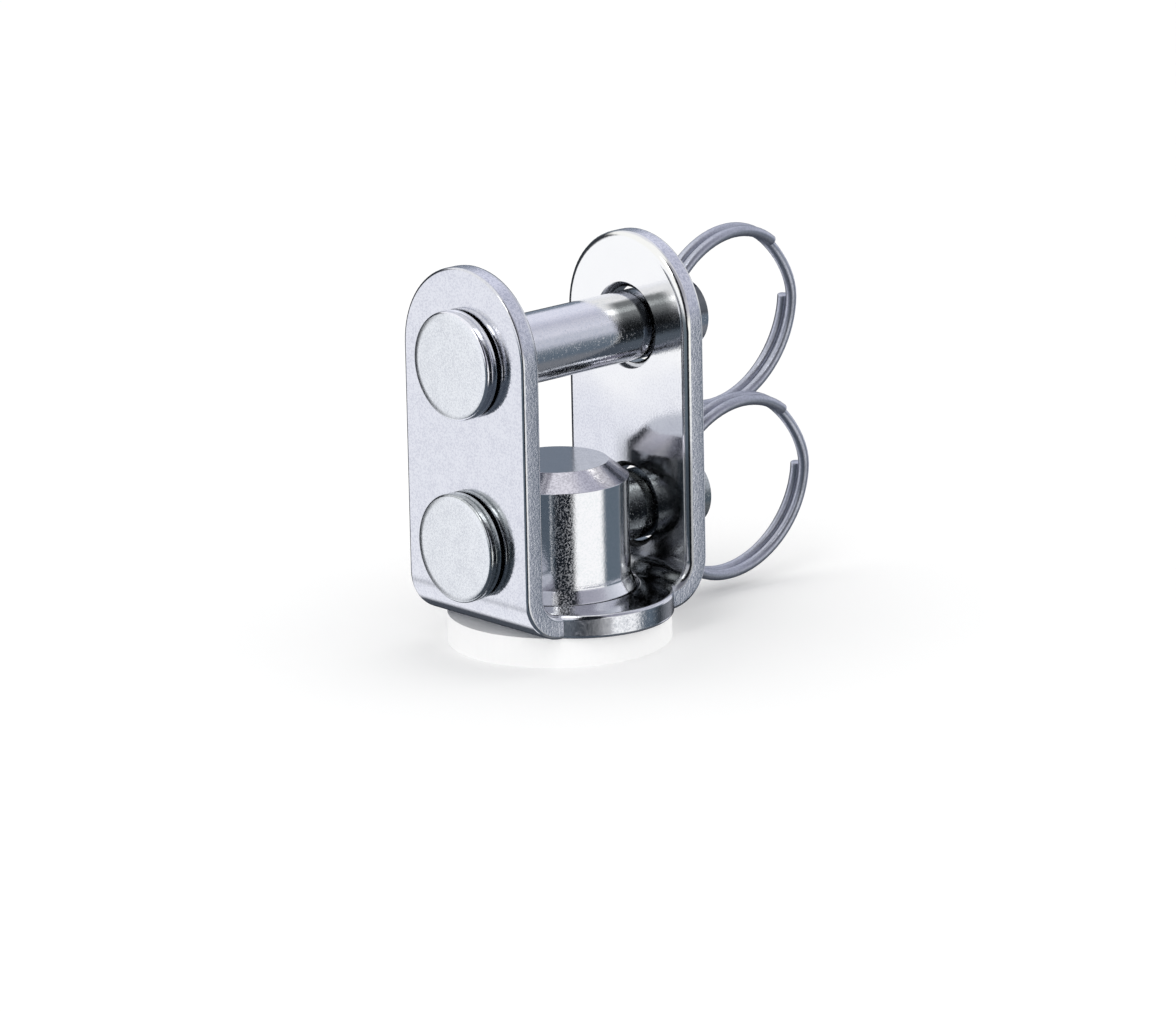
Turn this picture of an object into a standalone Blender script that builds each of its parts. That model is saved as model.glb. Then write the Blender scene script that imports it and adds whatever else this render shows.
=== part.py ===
"""Double clevis adapter: a folded strap with two pinned holes, its pins, split rings and post.

Frame: metres, +Z up. The origin is the centre of the base's underside, where the
post's foot ends flush. The pins lie along X with their heads at -X and their
split rings at +X, and the ears' width runs along Y.
"""

import math

import bmesh
import bpy
from mathutils import Vector

MM = 0.001

# Strap
STRAP_WIDTH = 19.9 * MM
STRAP_THICKNESS = 2.7 * MM
CLEVIS_GAP = 21.6 * MM
EAR_HEIGHT = 41.4 * MM
BEND_OUTER_RADIUS = 5.2 * MM
BASE_DEPTH = 28.0 * MM
INNER_EDGE_RADIUS = 0.5 * MM
OUTER_EDGE_RADIUS = 0.25 * MM

# Clevis pins
PIN_DIAMETER = 7.94 * MM
PIN_HOLE_PLAY = 0.7 * MM
PIN_HOLE_CHAMFER = 0.95 * MM
LOWER_PIN_HEIGHT = 9.87 * MM
UPPER_PIN_HEIGHT = 30.65 * MM
HEAD_DIAMETER = 12.3 * MM
HEAD_THICKNESS = 1.6 * MM
HEAD_EDGE_RADIUS = 0.3 * MM
TIP_BEYOND_EAR = 7.5 * MM
TIP_DOME_HEIGHT = 1.2 * MM
RING_HOLE_BEYOND_EAR = 3.2 * MM

# Split rings
WIRE_DIAMETER = 1.25 * MM
TURN_PITCH = 1.33 * MM
RING_OUTER_DIAMETER = 22.25 * MM
RING_HOLE_PLAY = 0.22 * MM
RING_LEAN = math.radians(7.0)
CROSSOVER_ANGLE = math.radians(48.0)
CROSSOVER_PLACE = math.radians(28.0)
UPPER_RING_DROP = 2.1 * MM
LOWER_RING_DROP = 0.85 * MM
UPPER_RING_SWING = math.radians(2.5)
LOWER_RING_SWING = math.radians(-1.0)

# Post
POST_DIAMETER = 16.2 * MM
POST_TOP_HEIGHT = 17.2 * MM
POST_CHAMFER_WIDTH = 2.3 * MM
POST_CHAMFER_DEPTH = 1.9 * MM
SHOULDER_DIAMETER = 17.5 * MM
SHOULDER_RISE = 1.4 * MM
POST_HOLE_PLAY = 0.76 * MM

# Gap between pieces that touch on the real object
SEAT_GAP = 0.3 * MM

# Smoothness of the round shapes
TURNED_STEPS = 64
ARC_STEPS = 24
BEND_STEPS = 8
WIRE_STEPS_PER_TURN = 40
CUTTER_STEPS = 64

# Values that follow from those above
EAR_OUTER_X = CLEVIS_GAP / 2 + STRAP_THICKNESS
BASE_HALF_FLAT = EAR_OUTER_X - BEND_OUTER_RADIUS
BULGE = (BASE_DEPTH - STRAP_WIDTH) / 2
BULGE_RADIUS = (BASE_HALF_FLAT ** 2 + BULGE ** 2) / (2 * BULGE)
BEND_MIDDLE_RADIUS = BEND_OUTER_RADIUS - STRAP_THICKNESS / 2
BEND_LENGTH = BEND_MIDDLE_RADIUS * math.pi / 2
EAR_ROUND_HEIGHT = EAR_HEIGHT - STRAP_WIDTH / 2
PIN_HOLE_DIAMETER = PIN_DIAMETER + PIN_HOLE_PLAY
POST_CROSS_HOLE_DIAMETER = PIN_DIAMETER + POST_HOLE_PLAY
HOLE_ABOVE_PIN = PIN_HOLE_PLAY / 2 - SEAT_GAP
RING_HOLE_X = EAR_OUTER_X + RING_HOLE_BEYOND_EAR
RING_MIDDLE_RADIUS = (RING_OUTER_DIAMETER - WIRE_DIAMETER) / 2
RING_TIP_RISE = PIN_DIAMETER / 2 + UPPER_RING_DROP
RING_TIP_REACH = math.sqrt(RING_MIDDLE_RADIUS ** 2 - RING_TIP_RISE ** 2)
RING_BOW = RING_MIDDLE_RADIUS - RING_TIP_REACH
WIRE_HALF_AT_MOUTH = WIRE_DIAMETER / 2 * RING_MIDDLE_RADIUS / RING_TIP_REACH
RING_HOLE_DIAMETER = 2 * (math.hypot(RING_BOW / 2, TURN_PITCH / 2) + WIRE_HALF_AT_MOUTH + RING_HOLE_PLAY)
BASE_HOLE_DIAMETER = SHOULDER_DIAMETER + 2 * SEAT_GAP


def clear_scene():
    """Remove every object that the scene starts with."""
    for obj in list(bpy.data.objects):
        bpy.data.objects.remove(obj, do_unlink=True)


def new_collection(name):
    """Add a collection to the scene."""
    collection = bpy.data.collections.new(name)
    bpy.context.scene.collection.children.link(collection)
    return collection


def steel(name, colour, roughness):
    """A bare metal material."""
    material = bpy.data.materials.new(name)
    material.use_nodes = True
    shader = material.node_tree.nodes["Principled BSDF"]
    shader.inputs["Base Color"].default_value = (*colour, 1.0)
    shader.inputs["Metallic"].default_value = 1.0
    shader.inputs["Roughness"].default_value = roughness
    return material


def new_object(name, data, collection, material=None):
    """Link an object for some mesh or curve data, and give it its material."""
    obj = bpy.data.objects.new(name, data)
    collection.objects.link(obj)
    if material:
        data.materials.append(material)
    return obj


def curve_mesh(name, curve, merge_distance=0.00001):
    """The mesh of a curve, with its caps welded to its walls."""
    scratch = bpy.data.objects.new(name + "_curve", curve)
    bpy.context.scene.collection.objects.link(scratch)
    evaluated = scratch.evaluated_get(bpy.context.evaluated_depsgraph_get())
    mesh = bpy.data.meshes.new_from_object(evaluated)
    mesh.name = name
    bpy.data.objects.remove(scratch, do_unlink=True)
    bpy.data.curves.remove(curve)
    bm = bmesh.new()
    bm.from_mesh(mesh)
    bmesh.ops.remove_doubles(bm, verts=bm.verts, dist=merge_distance)
    bm.to_mesh(mesh)
    bm.free()
    return mesh


def smooth_round(mesh, angle=math.radians(35)):
    """Shade a mesh smooth, apart from its real edges."""
    mesh.shade_smooth()
    mesh.set_sharp_from_angle(angle=angle)


def arc(centre, radius, start, end, steps):
    """Points along an arc in a plane, both ends included."""
    points = []
    for step in range(steps + 1):
        angle = start + (end - start) * step / steps
        points.append((centre[0] + radius * math.cos(angle), centre[1] + radius * math.sin(angle)))
    return points


def blank_outline():
    """Half of the flat blank's outline: round one end, then along the base's bulge on one side."""
    end_centre = BASE_HALF_FLAT + BEND_LENGTH + EAR_ROUND_HEIGHT - BEND_OUTER_RADIUS
    end = arc((end_centre, 0), STRAP_WIDTH / 2, -math.pi / 2, math.pi / 2, ARC_STEPS)
    bulge_centre = BASE_DEPTH / 2 - BULGE_RADIUS
    half_angle = math.asin(BASE_HALF_FLAT / BULGE_RADIUS)
    bulge = arc((0, bulge_centre), BULGE_RADIUS, math.pi / 2 - half_angle, math.pi / 2 + half_angle,
                ARC_STEPS)
    return end + bulge


def folded(point):
    """Where a point of the flat blank goes when its two ends are folded up."""
    along, across, height = point
    side = math.copysign(1, along)
    reach = abs(along) - BASE_HALF_FLAT
    if reach <= 0:
        return Vector((along, across, height))
    radius = BEND_OUTER_RADIUS - height
    if reach >= BEND_LENGTH:
        return Vector((side * (BASE_HALF_FLAT + radius), across, BEND_OUTER_RADIUS + reach - BEND_LENGTH))
    angle = reach / BEND_MIDDLE_RADIUS
    x = BASE_HALF_FLAT + radius * math.sin(angle)
    return Vector((side * x, across, BEND_OUTER_RADIUS - radius * math.cos(angle)))


def round_rim(bm, height, radius, segments):
    """Round the edge that runs along one face of the flat blank."""
    rim = []
    for edge in bm.edges:
        level = all(abs(vert.co.z - height) < radius / 100 for vert in edge.verts)
        if level and edge.is_manifold and edge.calc_face_angle(0.0) > math.radians(60):
            rim.append(edge)
    bmesh.ops.bevel(bm, geom=rim, offset=radius, segments=segments, profile=0.5, affect="EDGES",
                    offset_type="OFFSET", clamp_overlap=False)


def cylinder(name, diameter, length, centre, along_x, collection):
    """A plain cylinder that cuts a hole along X or Z."""
    mesh = bpy.data.meshes.new(name)
    bm = bmesh.new()
    bmesh.ops.create_cone(bm, cap_ends=True, segments=CUTTER_STEPS, radius1=diameter / 2,
                          radius2=diameter / 2, depth=length)
    bm.to_mesh(mesh)
    bm.free()
    cutter = new_object(name, mesh, collection)
    cutter.location = centre
    if along_x:
        cutter.rotation_euler = (0, math.pi / 2, 0)
    cutter.hide_render = True
    cutter.display_type = "WIRE"
    return cutter


def turned(name, profile, collection, material):
    """A solid of revolution about its own Z from an outer profile that runs top to bottom."""
    mesh = bpy.data.meshes.new(name)
    edges = [(index, index + 1) for index in range(len(profile) - 1)]
    mesh.from_pydata([(radius, 0, height) for radius, height in profile], edges, [])
    obj = new_object(name, mesh, collection, material)
    screw = obj.modifiers.new("turn", "SCREW")
    screw.steps = TURNED_STEPS
    screw.render_steps = TURNED_STEPS
    screw.use_merge_vertices = True
    screw.merge_threshold = 0.00001
    screw.use_smooth_shade = True
    return obj


def pin_hole_cutter(name, height, collection):
    """What cuts one pin's hole through both ears, chamfered on their inner sides."""
    radius = PIN_HOLE_DIAMETER / 2
    far = EAR_OUTER_X + STRAP_THICKNESS
    inner = CLEVIS_GAP / 2
    chamfer_end = inner + PIN_HOLE_CHAMFER
    wide = radius + PIN_HOLE_CHAMFER + SEAT_GAP
    half = [(radius, far), (radius, chamfer_end), (wide, inner - SEAT_GAP)]
    profile = [(0, far)] + half + [(size, -place) for size, place in reversed(half)] + [(0, -far)]
    cutter = turned(name, profile, collection, None)
    cutter.location = (0, 0, height)
    cutter.rotation_euler = (0, math.pi / 2, 0)
    cutter.hide_render = True
    cutter.display_type = "WIRE"
    return cutter


def cut(obj, cutter):
    """Take one cutter out of an object."""
    modifier = obj.modifiers.new(cutter.name, "BOOLEAN")
    modifier.operation = "DIFFERENCE"
    modifier.solver = "EXACT"
    modifier.object = cutter


def build_strap(parts, cutters):
    """The strap: a flat blank with a wider round middle, folded up at both ends, then drilled."""
    curve = bpy.data.curves.new("blank", "CURVE")
    curve.dimensions = "2D"
    curve.fill_mode = "BOTH"
    curve.extrude = STRAP_THICKNESS / 2
    half = blank_outline()
    points = half + [(-x, -y) for x, y in half]
    spline = curve.splines.new("POLY")
    spline.points.add(len(points) - 1)
    for target, (x, y) in zip(spline.points, points):
        target.co = (x, y, 0, 1)
    spline.use_cyclic_u = True
    mesh = curve_mesh("strap", curve)

    bm = bmesh.new()
    bm.from_mesh(mesh)
    for side in (-1, 1):
        bmesh.ops.dissolve_faces(bm, faces=[face for face in bm.faces if face.normal.z * side > 0.9])
    bmesh.ops.translate(bm, verts=bm.verts, vec=(0, 0, STRAP_THICKNESS / 2))
    round_rim(bm, STRAP_THICKNESS, INNER_EDGE_RADIUS, 3)
    round_rim(bm, 0, OUTER_EDGE_RADIUS, 2)
    for side in (-1, 1):
        for step in range(BEND_STEPS + 1):
            place = side * (BASE_HALF_FLAT + BEND_LENGTH * step / BEND_STEPS)
            bmesh.ops.bisect_plane(bm, geom=bm.verts[:] + bm.edges[:] + bm.faces[:], dist=MM / 1000,
                                   plane_co=(place, 0, 0), plane_no=(1, 0, 0))
    bmesh.ops.remove_doubles(bm, verts=bm.verts, dist=MM / 1000)
    bmesh.ops.dissolve_degenerate(bm, edges=bm.edges, dist=MM / 1000)
    for vert in bm.verts:
        vert.co = folded(vert.co)
    bmesh.ops.recalc_face_normals(bm, faces=bm.faces)
    bm.to_mesh(mesh)
    bm.free()
    smooth_round(mesh)

    strap = new_object("strap", mesh, parts, steel("strap_steel", (0.72, 0.71, 0.74), 0.22))
    for name, height in (("lower_pin_hole", LOWER_PIN_HEIGHT), ("upper_pin_hole", UPPER_PIN_HEIGHT)):
        cut(strap, pin_hole_cutter(name, height + HOLE_ABOVE_PIN, cutters))
    cut(strap, cylinder("base_hole", BASE_HOLE_DIAMETER, 4 * STRAP_THICKNESS, (0, 0, 0), False, cutters))
    return strap


def build_post(parts, cutters):
    """The post: a turned peg with a chamfered top, a shoulder that fills the base hole and a cross hole."""
    radius = POST_DIAMETER / 2
    shoulder = SHOULDER_DIAMETER / 2
    flare = shoulder - radius
    profile = [
        (0, POST_TOP_HEIGHT),
        (radius - POST_CHAMFER_WIDTH, POST_TOP_HEIGHT),
        (radius, POST_TOP_HEIGHT - POST_CHAMFER_DEPTH),
        (radius, STRAP_THICKNESS + SHOULDER_RISE),
        (radius + 0.18 * flare, STRAP_THICKNESS + 0.55 * SHOULDER_RISE),
        (radius + 0.5 * flare, STRAP_THICKNESS + 0.25 * SHOULDER_RISE),
        (shoulder, STRAP_THICKNESS),
        (shoulder, 0),
        (0, 0),
    ]
    post = turned("head_post", profile, parts, steel("post_steel", (0.70, 0.70, 0.72), 0.12))
    centre = (0, 0, LOWER_PIN_HEIGHT)
    cut(post, cylinder("post_cross_hole", POST_CROSS_HOLE_DIAMETER, 2 * POST_DIAMETER, centre, True, cutters))
    return post


def pin_profile():
    """A clevis pin's outline, from its domed tip down to its head's outer face."""
    radius = PIN_DIAMETER / 2
    head = HEAD_DIAMETER / 2
    tip = EAR_OUTER_X + TIP_BEYOND_EAR
    under_head = -(EAR_OUTER_X + SEAT_GAP)
    face = under_head - HEAD_THICKNESS
    dome_radius = (radius ** 2 + TIP_DOME_HEIGHT ** 2) / (2 * TIP_DOME_HEIGHT)
    dome_reach = math.asin(radius / dome_radius)
    dome_steps = 6
    profile = []
    for step in range(dome_steps + 1):
        angle = dome_reach * step / dome_steps
        profile.append((dome_radius * math.sin(angle), tip - dome_radius * (1 - math.cos(angle))))
    profile.append((radius, under_head))
    edge = HEAD_EDGE_RADIUS
    profile += arc((head - edge, under_head - edge), edge, math.pi / 2, 0, 3)
    profile += arc((head - edge, face + edge), edge, 0, -math.pi / 2, 3)
    profile.append((0, face))
    return profile


def build_pin(name, axis_empty, parts, cutters):
    """A clevis pin that lies along X at its axis empty, with the cross hole for its split ring."""
    pin = turned(name, pin_profile(), parts, steel(name + "_steel", (0.74, 0.74, 0.76), 0.14))
    pin.parent = axis_empty
    pin.rotation_euler = (0, math.pi / 2, 0)
    centre = (RING_HOLE_X, 0, 0)
    hole = cylinder(name + "_ring_hole", RING_HOLE_DIAMETER, 2 * PIN_DIAMETER, centre, False, cutters)
    hole.parent = axis_empty
    cut(pin, hole)
    return pin


def smooth_step(value):
    """Rise from 0 to 1 with level ends."""
    value = min(max(value, 0.0), 1.0)
    return value * value * (3 - 2 * value)


def ring_path(drop):
    """The wire's centre line: two turns side by side, joined where the wire crosses over.

    The ring lies in its local XZ plane. It hangs by a drop in its pin's hole, which is at the
    origin, and the stretch that is inside the pin bows evenly to both sides of it.
    """
    total = 4 * math.pi - CROSSOVER_ANGLE
    steps = round(2 * WIRE_STEPS_PER_TURN)
    middle = total / 2
    rise = PIN_DIAMETER / 2 + drop
    centre_x = (RING_MIDDLE_RADIUS + math.sqrt(RING_MIDDLE_RADIUS ** 2 - rise ** 2)) / 2
    points = []
    for step in range(steps + 1):
        angle = total * step / steps
        shift = smooth_step((angle - middle) / CROSSOVER_ANGLE + 0.5) - 0.5
        turn = CROSSOVER_PLACE + CROSSOVER_ANGLE / 2 + angle
        x = centre_x + RING_MIDDLE_RADIUS * math.cos(turn)
        z = RING_MIDDLE_RADIUS * math.sin(turn) - drop
        points.append((x, shift * TURN_PITCH, z))
    return points


def build_ring(name, drop, swing, pin_empty, parts):
    """A split ring of double wire through the pin's cross hole, turning about that hole."""
    curve = bpy.data.curves.new(name, "CURVE")
    curve.dimensions = "3D"
    curve.bevel_depth = WIRE_DIAMETER / 2
    curve.bevel_resolution = 2
    curve.use_fill_caps = True
    points = ring_path(drop)
    spline = curve.splines.new("POLY")
    spline.points.add(len(points) - 1)
    for target, point in zip(spline.points, points):
        target.co = (*point, 1)
    mesh = curve_mesh(name, curve)
    smooth_round(mesh)
    hinge = bpy.data.objects.new(name + "_axis", None)
    parts.objects.link(hinge)
    hinge.parent = pin_empty
    hinge.location = (RING_HOLE_X, 0, 0)
    hinge.rotation_euler = (0, 0, swing)
    ring = new_object(name, mesh, parts, steel(name + "_wire", (0.66, 0.65, 0.69), 0.25))
    ring.parent = hinge
    return ring


def build_pinned_end(side, height, drop, swing, parts, cutters):
    """One pin and its split ring, both carried by an empty on the pin's axis."""
    axis = bpy.data.objects.new(side + "_pin_axis", None)
    parts.objects.link(axis)
    axis.location = (0, 0, height)
    axis.rotation_euler = (RING_LEAN, 0, 0)
    build_pin(side + "_pin", axis, parts, cutters)
    build_ring(side + "_ring", drop, swing, axis, parts)


def main():
    """Build the whole adapter."""
    clear_scene()
    parts = new_collection("double_clevis_adapter")
    cutters = new_collection("cutters")
    build_strap(parts, cutters)
    build_post(parts, cutters)
    build_pinned_end("lower", LOWER_PIN_HEIGHT, LOWER_RING_DROP, LOWER_RING_SWING, parts, cutters)
    build_pinned_end("upper", UPPER_PIN_HEIGHT, UPPER_RING_DROP, UPPER_RING_SWING, parts, cutters)
    bpy.context.view_layer.update()


main()
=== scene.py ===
"""Double clevis adapter: the looks of its six pieces, and the studio that they stand in.

Frame: metres, +Z up. The origin is the centre of the base's underside. The pins lie
along X with their heads at -X and their split rings at +X.
"""

import logging
import math
from collections.abc import Callable, Iterator
from contextlib import contextmanager
from dataclasses import dataclass
from enum import Enum
from typing import Any, ClassVar

import bmesh
import bpy
from mathutils import Matrix, Vector


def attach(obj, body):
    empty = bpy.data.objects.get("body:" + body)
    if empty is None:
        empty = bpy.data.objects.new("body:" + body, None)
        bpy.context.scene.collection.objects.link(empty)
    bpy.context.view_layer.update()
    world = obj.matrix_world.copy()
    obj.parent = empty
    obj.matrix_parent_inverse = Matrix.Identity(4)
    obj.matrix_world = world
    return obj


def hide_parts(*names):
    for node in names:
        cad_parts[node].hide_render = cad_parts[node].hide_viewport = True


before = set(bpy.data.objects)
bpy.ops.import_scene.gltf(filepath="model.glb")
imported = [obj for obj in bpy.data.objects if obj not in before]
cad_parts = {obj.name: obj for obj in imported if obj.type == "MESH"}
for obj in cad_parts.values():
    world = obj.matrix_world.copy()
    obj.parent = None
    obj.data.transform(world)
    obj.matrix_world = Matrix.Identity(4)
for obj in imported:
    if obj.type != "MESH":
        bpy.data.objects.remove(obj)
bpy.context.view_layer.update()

logging.basicConfig(level=logging.INFO, format="%(name)s: %(message)s")
log = logging.getLogger("adapter")

MM = 0.001
Triple = tuple[float, float, float]
Colour = Triple
Outline = list[tuple[float, float]]


class Signal:
    """A shader output that Python arithmetic works on."""

    def __init__(self, board: "NodeBoard", socket: bpy.types.NodeSocket) -> None:
        """Wrap one output socket of a node."""
        self.board = board
        self.socket = socket

    def _math(self, operation: str, first: Any, second: Any) -> "Signal":
        """Add the Math node for one operator."""
        return self.board.add("ShaderNodeMath", {"operation": operation}, {0: first, 1: second})

    def __add__(self, other: Any) -> "Signal":
        """Sum of two signals."""
        return self._math("ADD", self, other)

    def __radd__(self, other: Any) -> "Signal":
        """Sum with a plain number on the left."""
        return self._math("ADD", other, self)

    def __sub__(self, other: Any) -> "Signal":
        """Difference of two signals."""
        return self._math("SUBTRACT", self, other)

    def __rsub__(self, other: Any) -> "Signal":
        """Difference with a plain number on the left."""
        return self._math("SUBTRACT", other, self)

    def __mul__(self, other: Any) -> "Signal":
        """Product of two signals."""
        return self._math("MULTIPLY", self, other)

    def __rmul__(self, other: Any) -> "Signal":
        """Product with a plain number on the left."""
        return self._math("MULTIPLY", other, self)

    def __truediv__(self, other: Any) -> "Signal":
        """Quotient of two signals."""
        return self._math("DIVIDE", self, other)

    def __rtruediv__(self, other: Any) -> "Signal":
        """Quotient with a plain number on the left."""
        return self._math("DIVIDE", other, self)


class NodeBoard:
    """The node tree of one material or of the world."""

    noise_roughness: ClassVar[float] = 0.6
    noise_middle: ClassVar[float] = 0.5
    mix_first: ClassVar[int] = 6
    mix_second: ClassVar[int] = 7
    mix_result: ClassVar[int] = 2

    def __init__(self, tree: bpy.types.NodeTree) -> None:
        """Empty the tree before nodes are added."""
        self.tree = tree
        tree.nodes.clear()

    def add(self, kind: str, settings: dict[str, Any] | None = None,
            inputs: dict[int | str, Any] | None = None, output: int | str = 0) -> Signal:
        """Add one node.

        Args:
            kind: The node's type name.
            settings: Values set on the node itself; "stops" holds a ramp's stops.
            inputs: A value or a signal for each named or numbered socket.
            output: The output that the returned signal stands for.

        Returns:
            The chosen output of the new node.
        """
        node = self.tree.nodes.new(kind)
        for name, value in (settings or {}).items():
            if name == "stops":
                self._set_stops(node.color_ramp, value)
            else:
                setattr(node, name, value)
        for name, value in (inputs or {}).items():
            if isinstance(value, Signal):
                self.tree.links.new(value.socket, node.inputs[name])
            else:
                node.inputs[name].default_value = value
        socket = node.outputs[output] if len(node.outputs) else None
        return Signal(self, socket)

    @staticmethod
    def _set_stops(ramp: bpy.types.ColorRamp, stops: list[tuple[float, Colour]]) -> None:
        """Place a colour ramp's stops.

        Args:
            ramp: The ramp. Of its own stops only the first stays, and moves.
            stops: Each stop's place, from 0 to 1, and its colour.
        """
        while len(ramp.elements) > 1:
            ramp.elements.remove(ramp.elements[-1])
        for index, (place, colour) in enumerate(stops):
            stop = ramp.elements[0] if index == 0 else ramp.elements.new(place)
            stop.position = place
            stop.color = (*colour, 1.0)

    def noise(self, place: Signal, size: float, detail: float) -> Signal:
        """Soft noise from 0 to 1 whose blots are about this size, in metres."""
        return self.add("ShaderNodeTexNoise", {},
                        {"Vector": place, "Scale": 1.0 / size, "Detail": detail,
                         "Roughness": self.noise_roughness})

    def stretched(self, place: Signal, scale: Triple) -> Signal:
        """The same place with each axis scaled, for marks that run one way."""
        return self.add("ShaderNodeMapping", {}, {"Vector": place, "Scale": scale})

    def ease(self, value: Signal, low: float, high: float) -> Signal:
        """Rise smoothly from 0 at low to 1 at high."""
        return self.add("ShaderNodeMapRange", {"interpolation_type": "SMOOTHSTEP"},
                        {"Value": value, "From Min": low, "From Max": high})

    def blend(self, share: Signal | float, first: Any, second: Any) -> Signal:
        """Mix two colours.

        Args:
            share: How much of the second colour there is, from 0 to 1.
            first: The first colour, plain or as a signal.
            second: The second colour, plain or as a signal.

        Returns:
            The mixed colour.
        """
        first, second = (value if isinstance(value, Signal) else (*value, 1.0)
                         for value in (first, second))
        return self.add("ShaderNodeMix", {"data_type": "RGBA"},
                        {0: share, self.mix_first: first, self.mix_second: second},
                        output=self.mix_result)


@dataclass(frozen=True)
class Grain:
    """The pattern that one way of making leaves: its stretch, size, detail and depth."""

    stretch: Triple
    size: float
    detail: float
    depth: float = 1.0


class Marks(Enum):
    """What a piece's making leaves on its surface."""

    ROLLED = Grain(stretch=(1.0, 1.0, 0.2), size=0.35 * MM, detail=3.0)
    SHEARED = Grain(stretch=(1.0, 1.0, 0.45), size=0.3 * MM, detail=4.0, depth=6.0)
    TURNED = Grain(stretch=(0.05, 0.05, 1.0), size=0.16 * MM, detail=2.0)
    DRAWN = Grain(stretch=(0.05, 1.0, 1.0), size=0.16 * MM, detail=2.0)


@dataclass(frozen=True)
class Limit:
    """A soft edge: along its way, the share grows from 0 at start to 1 at full."""

    way: Triple
    start: float
    full: float

    def share(self, board: NodeBoard, place: Signal, drift: Signal | None = None) -> Signal:
        """How far a place is past the edge.

        Args:
            board: The node board of the material or the world.
            place: The place's coordinates.
            drift: What moves the edge to and fro, if anything does.

        Returns:
            0 before the edge, 1 past it.
        """
        reach = board.add("ShaderNodeVectorMath", {"operation": "DOT_PRODUCT"},
                          {0: place, 1: self.way}, output="Value")
        if drift is not None:
            reach = reach + drift
        return board.ease(reach, self.start, self.full)


@dataclass(frozen=True)
class Zone:
    """A region of a piece with soft edges, which wander by the drift."""

    limits: tuple[Limit, ...]
    drift: float = 0.0
    drift_size: ClassVar[float] = 9.0 * MM

    def share(self, board: NodeBoard, place: Signal) -> Signal:
        """How far a place is inside the zone.

        Args:
            board: The material's node board.
            place: The place's coordinates.

        Returns:
            0 outside, 1 well inside.
        """
        drift = None
        if self.drift > 0:
            noise = board.noise(place, self.drift_size, detail=2.0)
            drift = (noise - board.noise_middle) * self.drift
        share = None
        for limit in self.limits:
            inside = limit.share(board, place, drift)
            share = inside if share is None else share * inside
        return share


@dataclass(frozen=True, kw_only=True)
class RecolouredZone(Zone):
    """A zone where the metal is painted another colour, and may be rougher: mostly painted light
    and shade.
    """

    colour: Colour
    rougher: float = 0.0


@dataclass(frozen=True)
class PlatedSteel:
    """Bright plated steel: its colour, dull patches, making marks, flecks, and zones of painted
    light and shade.
    """

    name: str
    colour: Colour
    dull_colour: Colour
    roughness: float
    dull_roughness: float
    marks: Marks
    patch_size: float = 2.2 * MM
    speckle_size: float = 0.24 * MM
    grain_height: float = 0.006 * MM
    mark_height: float = 0.003 * MM
    waviness: float = 0.02 * MM
    dull_from: float = 0.42
    dull_to: float = 0.62
    fleck_size: float = 0.30 * MM
    fleck_roughness: float = 0.0
    fleck_share: float = 0.5
    fleck_zone: Zone | None = None
    painted_light_and_tones: tuple[RecolouredZone, ...] = ()
    patch_share: ClassVar[float] = 0.25
    wave_size: ClassVar[float] = 5.0 * MM
    fewest_flecks: ClassVar[float] = 0.62
    fleck_range: ClassVar[float] = 0.2
    fleck_softness: ClassVar[float] = 0.14
    share_off_zone: ClassVar[float] = 0.2

    def build(self) -> bpy.types.Material:
        """Make the material, unless another piece has it already.

        Returns:
            The material of this finish's name.
        """
        made = bpy.data.materials.get(self.name)
        if made is not None:
            return made
        material = bpy.data.materials.new(self.name)
        material.use_nodes = True
        board = NodeBoard(material.node_tree)
        place = board.add("ShaderNodeTexCoord", output="Object")
        patches = board.noise(place, self.patch_size, detail=4.0)
        speckles = board.noise(place, self.speckle_size, detail=3.0)
        dull = board.ease(patches * self.patch_share + speckles * (1 - self.patch_share),
                          self.dull_from, self.dull_to)
        height = self._mark_height(board, place) + speckles * (self.grain_height / MM)
        wave = board.noise(place, self.wave_size, detail=1.0) * (self.waviness / MM)
        bump = board.add("ShaderNodeBump", {},
                         {"Strength": 1.0, "Distance": MM, "Height": height + wave})
        colour = board.blend(dull, self.colour, self.dull_colour)
        roughness = dull * (self.dull_roughness - self.roughness) + self.roughness
        if self.fleck_roughness > 0:
            roughness = roughness + self._flecks(board, place)
        # Zones of painted light and shade, and one darker rim zone, are laid over the colour here.
        for recolouring in self.painted_light_and_tones:
            share = recolouring.share(board, place)
            colour = board.blend(share, colour, recolouring.colour)
            roughness = roughness + share * recolouring.rougher
        shader = board.add("ShaderNodeBsdfPrincipled", {}, {
            "Base Color": colour,
            "Metallic": 1.0,
            "Roughness": roughness,
            "Normal": bump,
        })
        board.add("ShaderNodeOutputMaterial", {}, {"Surface": shader})
        return material

    def _mark_height(self, board: NodeBoard, place: Signal) -> Signal:
        """Height of the making marks.

        Args:
            board: The material's node board.
            place: The place's coordinates.

        Returns:
            The height in millimetres.
        """
        grain = self.marks.value
        pattern = board.noise(board.stretched(place, grain.stretch), grain.size, grain.detail)
        return pattern * (self.mark_height / MM * grain.depth)

    def _flecks(self, board: NodeBoard, place: Signal) -> Signal:
        """Roughness that the small rough flecks add.

        Args:
            board: The material's node board.
            place: The place's coordinates.

        Returns:
            0 between the flecks, and less on them outside the fleck zone.
        """
        edge = self.fewest_flecks - self.fleck_range * self.fleck_share
        flecks = board.noise(place, self.fleck_size, detail=2.0)
        rougher = board.ease(flecks, edge, edge + self.fleck_softness) * self.fleck_roughness
        if self.fleck_zone is not None:
            inside = self.fleck_zone.share(board, place)
            rougher = rougher * (inside * (1 - self.share_off_zone) + self.share_off_zone)
        return rougher


# The ways that soft edges are measured along, from the origin.
ALONG_X: Triple = (1.0, 0.0, 0.0)
ACROSS: Triple = (0.0, 1.0, 0.0)
UPWARDS: Triple = (0.0, 0.0, 1.0)
DOWNWARDS: Triple = (0.0, 0.0, -1.0)
ROUND_POST: Triple = (0.745, -0.667, 0.0)
PIN_FRONT: Triple = (0.0, -0.819, 0.574)

# Painted light: the upper part of the ear on the rings' side is painted lighter.
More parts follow.
